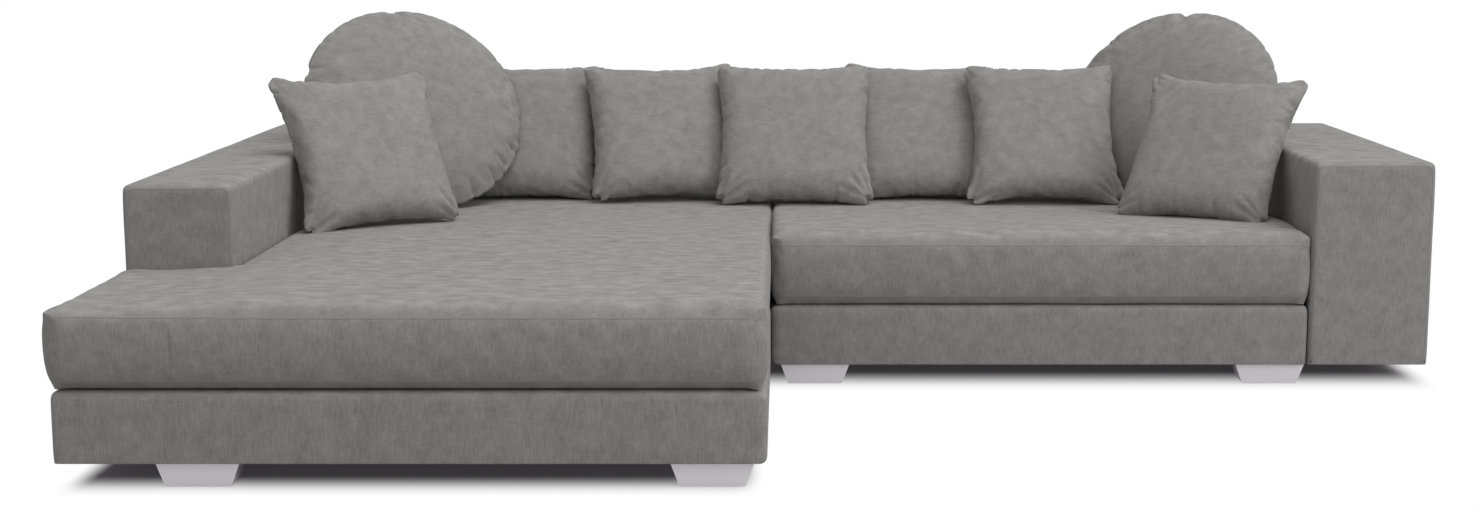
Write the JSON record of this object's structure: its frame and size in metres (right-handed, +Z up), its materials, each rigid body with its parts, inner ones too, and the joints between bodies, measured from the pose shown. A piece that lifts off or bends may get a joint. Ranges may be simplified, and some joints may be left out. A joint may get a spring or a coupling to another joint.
{
  "type": "corner sofa",
  "caption": "Low corner sofa with a deep chaise on the left, block arms, loose crowned seat cushions, square and round scatter cushions and wedge feet.",
  "frame": {"origin": "on the floor, in the middle of the whole footprint", "axes": "+X to the right as seen from the front, +Y to the back, +Z up"},
  "size_m": [3.452, 2.272, 1.0056],
  "materials": {
    "cover_fabric": "soft woven grey cloth with a short pile",
    "scatter_fabric": "the same grey cloth on the scatter cushions",
    "foam": "pale open-cell upholstery foam",
    "filling": "white fibre filling in a thin liner",
    "felt": "grey needle felt",
    "webbing": "woven elastic band",
    "dust_cloth": "black non-woven cloth",
    "rail_wood": "planed softwood",
    "panel_board": "smooth hardboard",
    "foot_metal": "satin silver metal",
    "link_steel": "plain bent steel",
    "bolt_steel": "plain steel",
    "pad_plastic": "black glide pad"
  },
  "bodies": {
    "sofa_frame": {"chaise_back_cover": "cover_fabric", "chaise_back_foam": "foam", "chaise_back_frame": "rail_wood", "chaise_back_webbing": "webbing", "chaise_base_cover": "cover_fabric", "chaise_cross_rails": "rail_wood", "chaise_deck_foam": "foam", "chaise_dust_cover": "dust_cloth", "chaise_feet": "foot_metal", "chaise_felt_pad": "felt", "chaise_perimeter_rails": "rail_wood", "chaise_seat_webbing": "webbing", "foot_bolts": "bolt_steel", "foot_pads": "pad_plastic", "front_foot_blocks": "rail_wood", "left_arm_cover": "cover_fabric", "left_arm_foam": "foam", "left_arm_frame": "rail_wood", "left_arm_panels": "panel_board", "module_link_hooks": "link_steel", "module_link_sockets": "link_steel", "right_arm_cover": "cover_fabric", "right_arm_foam": "foam", "right_arm_frame": "rail_wood", "right_arm_panels": "panel_board", "two_seat_back_cover": "cover_fabric", "two_seat_back_foam": "foam", "two_seat_back_frame": "rail_wood", "two_seat_back_webbing": "webbing", "two_seat_base_cover": "cover_fabric", "two_seat_cross_rails": "rail_wood", "two_seat_deck_foam": "foam", "two_seat_dust_cover": "dust_cloth", "two_seat_feet": "foot_metal", "two_seat_felt_pad": "felt", "two_seat_perimeter_rails": "rail_wood", "two_seat_seat_webbing": "webbing"},
    "chaise_cushion": {"chaise_cushion_cover": "cover_fabric", "chaise_cushion_foam_core": "foam"},
    "two_seat_cushion": {"two_seat_cushion_cover": "cover_fabric", "two_seat_cushion_foam_core": "foam"},
    "square_cushion_1": {"square_cushion_1_case": "scatter_fabric", "square_cushion_1_filling": "filling"},
    "square_cushion_2": {"square_cushion_2_case": "scatter_fabric", "square_cushion_2_filling": "filling"},
    "square_cushion_3": {"square_cushion_3_case": "scatter_fabric", "square_cushion_3_filling": "filling"},
    "square_cushion_4": {"square_cushion_4_case": "scatter_fabric", "square_cushion_4_filling": "filling"},
    "square_cushion_5": {"square_cushion_5_case": "scatter_fabric", "square_cushion_5_filling": "filling"},
    "square_cushion_6": {"square_cushion_6_case": "scatter_fabric", "square_cushion_6_filling": "filling"},
    "square_cushion_7": {"square_cushion_7_case": "scatter_fabric", "square_cushion_7_filling": "filling"},
    "round_cushion_left": {"round_cushion_left_case": "scatter_fabric", "round_cushion_left_filling": "filling"},
    "round_cushion_right": {"round_cushion_right_case": "scatter_fabric", "round_cushion_right_filling": "filling"}
  },
  "joints": [
    {"name": "chaise_cushion_slide", "type": "slide", "parent": "sofa_frame", "child": "chaise_cushion", "axis": [0, -1, 0], "range_m": [0, 0.35]},
    {"name": "two_seat_cushion_slide", "type": "slide", "parent": "sofa_frame", "child": "two_seat_cushion", "axis": [0, -1, 0], "range_m": [0, 0.35]},
    {"name": "square_cushion_1_lift", "type": "slide", "parent": "sofa_frame", "child": "square_cushion_1", "axis": [-0.2632, 0.4053, 0.8755], "range_m": [0, 0.35]},
    {"name": "square_cushion_2_lift", "type": "slide", "parent": "sofa_frame", "child": "square_cushion_2", "axis": [0, 0.5446, 0.8387], "range_m": [0, 0.35]},
    {"name": "square_cushion_3_lift", "type": "slide", "parent": "sofa_frame", "child": "square_cushion_3", "axis": [0, 0.5446, 0.8387], "range_m": [0, 0.35]},
    {"name": "square_cushion_4_lift", "type": "slide", "parent": "sofa_frame", "child": "square_cushion_4", "axis": [0, 0.5446, 0.8387], "range_m": [0, 0.35]},
    {"name": "square_cushion_5_lift", "type": "slide", "parent": "sofa_frame", "child": "square_cushion_5", "axis": [0, 0.5446, 0.8387], "range_m": [0, 0.35]},
    {"name": "square_cushion_6_lift", "type": "slide", "parent": "sofa_frame", "child": "square_cushion_6", "axis": [0, 0.5446, 0.8387], "range_m": [0, 0.35]},
    {"name": "square_cushion_7_lift", "type": "slide", "parent": "sofa_frame", "child": "square_cushion_7", "axis": [0.2673, 0.4008, 0.8763], "range_m": [0, 0.35]},
    {"name": "round_cushion_left_lift", "type": "slide", "parent": "sofa_frame", "child": "round_cushion_left", "axis": [-0.2632, 0.4053, 0.8755], "range_m": [0, 0.35]},
    {"name": "round_cushion_right_lift", "type": "slide", "parent": "sofa_frame", "child": "round_cushion_right", "axis": [0.2673, 0.4008, 0.8763], "range_m": [0, 0.35]}
  ]
}
